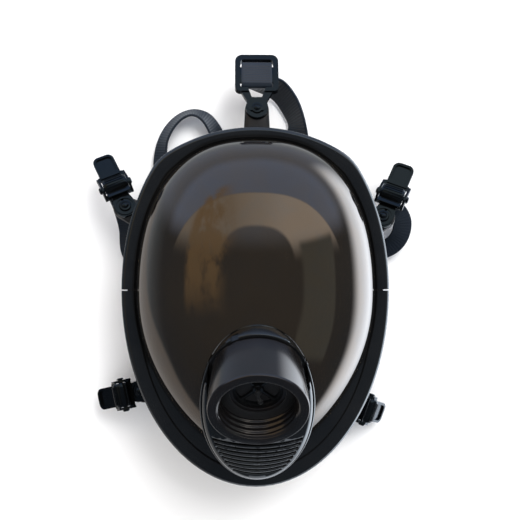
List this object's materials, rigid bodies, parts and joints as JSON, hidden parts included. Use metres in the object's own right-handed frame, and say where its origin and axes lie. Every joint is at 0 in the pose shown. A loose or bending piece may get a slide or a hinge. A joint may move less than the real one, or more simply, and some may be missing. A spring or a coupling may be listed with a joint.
{
  "type": "full face respirator",
  "caption": "Full-face respirator with a domed smoked visor in a clamp frame, a round-thread filter port, valves, nose cup, rubber face seal and buckled head harness.",
  "frame": {"origin": "bottom centre of the whole object as it lies on its face seal", "axes": "+Z out of the visor, away from the wearer's face; +Y towards the forehead; +X completes a right-handed frame, towards the wearer's left"},
  "size_m": [0.2031, 0.2612, 0.1485],
  "materials": {
    "smoked_visor": "smoke-brown tinted polycarbonate, mirror gloss",
    "black_shell": "gloss black moulding",
    "buckle_black": "gloss black",
    "seal_rubber": "satin",
    "harness_rubber": "satin, fine cross ribs",
    "gasket_rubber": "matte",
    "silicone": "satin silicone",
    "steel": "plain"
  },
  "bodies": {
    "mask": {"visor": "smoked_visor", "frame_upper": "black_shell", "frame_lower": "black_shell", "frame_screws": "steel", "frame_nuts": "steel", "face_seal": "seal_rubber", "seal_lip": "seal_rubber", "harness_lugs": "seal_rubber", "lug_rivets": "buckle_black", "lug_washers": "steel", "harness_pad": "harness_rubber", "strap_top": "harness_rubber", "strap_upper_right": "harness_rubber", "strap_upper_left": "harness_rubber", "strap_lower_right": "harness_rubber", "strap_lower_left": "harness_rubber", "port_connector": "black_shell", "port_gasket": "gasket_rubber", "port_collar": "black_shell", "inhalation_valve_grid": "black_shell", "valve_housing": "black_shell", "housing_gasket": "gasket_rubber", "housing_clamp_ring": "black_shell", "exhalation_cover": "black_shell", "exhalation_valve_seat": "black_shell", "nose_cup": "silicone", "nose_cup_clamp": "steel", "nose_cup_valve_seats": "black_shell"},
    "top_buckle_turn": {"top_buckle_frame": "buckle_black", "top_strap_loop": "harness_rubber"},
    "upper_right_buckle_turn": {"upper_right_buckle": "buckle_black", "upper_right_bar": "buckle_black", "upper_right_strap_end": "harness_rubber"},
    "upper_right_lever_turn": {"upper_right_lever": "buckle_black"},
    "upper_left_buckle_turn": {"upper_left_buckle": "buckle_black", "upper_left_bar": "buckle_black", "upper_left_strap_end": "harness_rubber"},
    "upper_left_lever_turn": {"upper_left_lever": "buckle_black"},
    "lower_right_buckle_turn": {"lower_right_buckle": "buckle_black", "lower_right_bar": "buckle_black", "lower_right_strap_end": "harness_rubber"},
    "lower_right_lever_turn": {"lower_right_lever": "buckle_black"},
    "lower_left_buckle_turn": {"lower_left_buckle": "buckle_black", "lower_left_bar": "buckle_black", "lower_left_strap_end": "harness_rubber"},
    "lower_left_lever_turn": {"lower_left_lever": "buckle_black"},
    "inhalation_valve": {"inhalation_valve_disc": "silicone"},
    "exhalation_valve": {"exhalation_valve_disc": "silicone"},
    "nose_cup_valve_right": {"nose_cup_valve_disc_right": "silicone"},
    "nose_cup_valve_left": {"nose_cup_valve_disc_left": "silicone"}
  },
  "joints": [
    {"name": "top_buckle_pivot", "type": "hinge", "parent": "mask", "child": "top_buckle_turn", "pos_m": [0.001, 0.0935, 0.04], "axis": [0, 0.342, 0.9397], "range_deg": [-20, 20]},
    {"name": "upper_right_buckle_pivot", "type": "hinge", "parent": "mask", "child": "upper_right_buckle_turn", "pos_m": [0.0793, 0.0275, 0.038], "axis": [-0.1316, 0.359, 0.924], "range_deg": [-20, 20]},
    {"name": "upper_right_lever_hinge", "type": "hinge", "parent": "upper_right_buckle_turn", "child": "upper_right_lever_turn", "pos_m": [0.08563, 0.04143, 0.03511], "axis": [-0.8973, 0.3531, -0.265], "range_deg": [0, 40]},
    {"name": "upper_left_buckle_pivot", "type": "hinge", "parent": "mask", "child": "upper_left_buckle_turn", "pos_m": [-0.08, 0.0335, 0.038], "axis": [0.0578, 0.4066, 0.9118], "range_deg": [-20, 20]},
    {"name": "upper_left_lever_hinge", "type": "hinge", "parent": "upper_left_buckle_turn", "child": "upper_left_lever_turn", "pos_m": [-0.08675, 0.04697, 0.03407], "axis": [-0.8956, -0.3825, 0.2273], "range_deg": [0, 40]},
    {"name": "lower_right_buckle_pivot", "type": "hinge", "parent": "mask", "child": "lower_right_buckle_turn", "pos_m": [0.061, -0.0895, 0.038], "axis": [0.7465, -0.256, 0.6142], "range_deg": [-20, 20]},
    {"name": "lower_right_lever_hinge", "type": "hinge", "parent": "lower_right_buckle_turn", "child": "lower_right_lever_turn", "pos_m": [0.07084, -0.09377, 0.02671], "axis": [0.3555, 0.9337, -0.0429], "range_deg": [0, 40]},
    {"name": "lower_left_buckle_pivot", "type": "hinge", "parent": "mask", "child": "lower_left_buckle_turn", "pos_m": [-0.07, -0.0795, 0.038], "axis": [-0.6228, -0.056, 0.7803], "range_deg": [-20, 20]},
    {"name": "lower_left_lever_hinge", "type": "hinge", "parent": "lower_left_buckle_turn", "child": "lower_left_lever_turn", "pos_m": [-0.08255, -0.08336, 0.02963], "axis": [0.2245, -0.9683, 0.1097], "range_deg": [0, 40]},
    {"name": "inhalation_valve_lift", "type": "slide", "parent": "mask", "child": "inhalation_valve", "axis": [0, 0.6157, -0.788], "range_m": [0, 0.0012], "stiffness_N_per_m": 20, "springref_m": -0.003},
    {"name": "exhalation_valve_lift", "type": "slide", "parent": "mask", "child": "exhalation_valve", "axis": [0, -0.342, 0.9397], "range_m": [0, 0.0012], "stiffness_N_per_m": 20, "springref_m": -0.001},
    {"name": "nose_cup_valve_right_lift", "type": "slide", "parent": "mask", "child": "nose_cup_valve_right", "axis": [-0.7199, -0.3205, -0.6157], "range_m": [0, 0.0012], "stiffness_N_per_m": 20, "springref_m": -0.002},
    {"name": "nose_cup_valve_left_lift", "type": "slide", "parent": "mask", "child": "nose_cup_valve_left", "axis": [0.7199, -0.3205, -0.6157], "range_m": [0, 0.0012], "stiffness_N_per_m": 20, "springref_m": -0.002}
  ]
}
